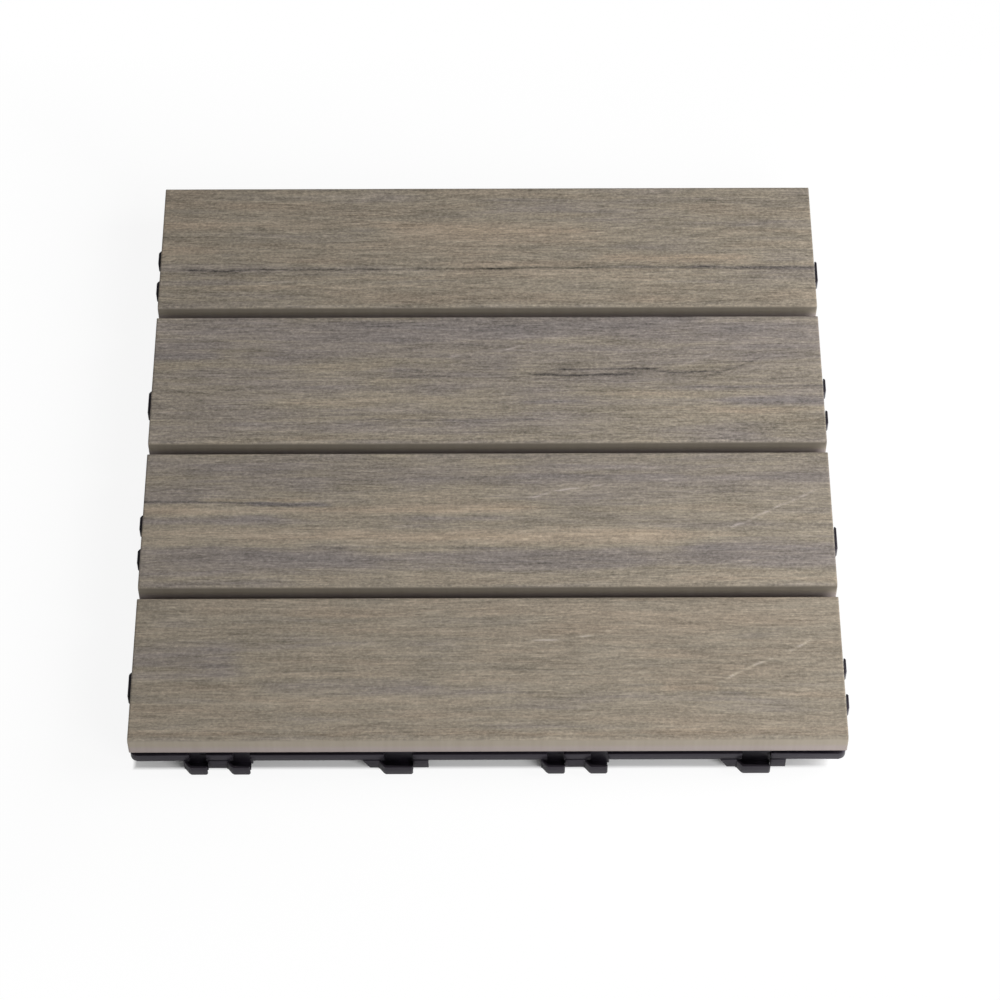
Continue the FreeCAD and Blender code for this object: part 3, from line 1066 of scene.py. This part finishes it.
def camera():
    """Camera at the photograph's viewing angle."""
    back = Vector((
        math.sin(YAW) * math.cos(ELEVATION),
        -math.cos(YAW) * math.cos(ELEVATION),
        math.sin(ELEVATION),
    ))
    level_right = (-back).cross(Vector((0, 0, 1))).normalized()
    level_up = level_right.cross(-back)
    right = level_right * math.cos(ROLL) + level_up * math.sin(ROLL)
    up = level_up * math.cos(ROLL) - level_right * math.sin(ROLL)
    data = bpy.data.cameras.new("camera")
    data.sensor_width = SENSOR
    data.lens = FOCAL_LENGTH
    data.clip_end = CLIP_END
    item = link_object("camera", data)
    item.matrix_world = Matrix((right, up, back)).transposed().to_4x4()
    item.location = AIM + back * DISTANCE
    bpy.context.scene.camera = item


def soft_light(name, place, size):
    """Round lamp that shines at the middle of the tile."""
    data = bpy.data.lights.new(name, "AREA")
    data.shape = "DISK"
    data.size = size
    data.energy = LAMP_POWER
    item = link_object(name, data)
    item.location = place
    item.rotation_euler = (LAMP_AIM - place).to_track_quat("-Z", "Y").to_euler()


def world():
    """Even white surroundings: pure white where they are seen, weaker as light."""
    surroundings = bpy.data.worlds.new("surroundings")
    bpy.context.scene.world = surroundings
    surroundings.use_nodes = True
    nodes = Nodes(surroundings.node_tree)
    path = nodes.add("LightPath").outputs
    seen = nodes.math("MAXIMUM", path["Is Camera Ray"], path["Is Transmission Ray"])
    strength = nodes.scaled(seen, 1.0 - WORLD_LIGHT, WORLD_LIGHT)
    light = nodes.add("Background", {"Color": (1, 1, 1, 1), "Strength": strength})
    nodes.add("OutputWorld", {"Surface": light.outputs[0]})


def floor():
    """Pale floor: white around the tile with a faint shadow, in plain shadow beneath it."""
    finish, nodes = material("pale_floor")
    seen = nodes.add("LightPath").outputs["Is Camera Ray"]
    x, y, _ = nodes.coordinates()
    mottle = nodes.noise(nodes.place(), scale=60.0)
    pale = nodes.ramp(mottle, [(0.0, (0.87, 0.87, 0.87, 1)), (1.0, (0.9, 0.9, 0.9, 1))])
    diffuse = nodes.add("BsdfDiffuse", {"Color": pale})
    white = nodes.add("Emission", {"Color": (1, 1, 1, 1), "Strength": 1.0})
    away = nodes.math("MAXIMUM", nodes.math("ABSOLUTE", x), nodes.math("ABSOLUTE", y))
    outside = nodes.map_range(away, WHITE_FROM, WHITE_AROUND)
    whiteness = nodes.map_range(away, FAINT_SHADOW_FROM, FAINT_SHADOW_END, FLOOR_WHITE, 1.0)
    share = nodes.math("MULTIPLY", nodes.math("MULTIPLY", seen, whiteness), outside)
    mixed = nodes.add("MixShader", {0: share, 1: diffuse.outputs[0], 2: white.outputs[0]})
    nodes.add("OutputMaterial", {"Surface": mixed.outputs[0]})
    outline = rectangle(-FLOOR_HALF, FLOOR_HALF, -FLOOR_HALF, FLOOR_HALF)
    corners = [(*corner, 0) for corner in outline]
    plane = mesh_object("floor", corners, [(0, 1, 2, 3)], [finish], smooth=False)


camera()
world()
floor()
soft_light("front_light", FRONT_LAMP, FRONT_LAMP_SIZE)
soft_light("side_light", SIDE_LAMP, SIDE_LAMP_SIZE)

cap = composite_material()
core = core_material()
plastic = plastic_material()
zinc = steel_material()

for number, looks in enumerate(SLAT_LOOKS, 1):
    slat_board(number, looks, cap, core)

base_moulding(plastic)
screws(zinc)

scene = bpy.context.scene
scene.view_settings.view_transform = "Standard"
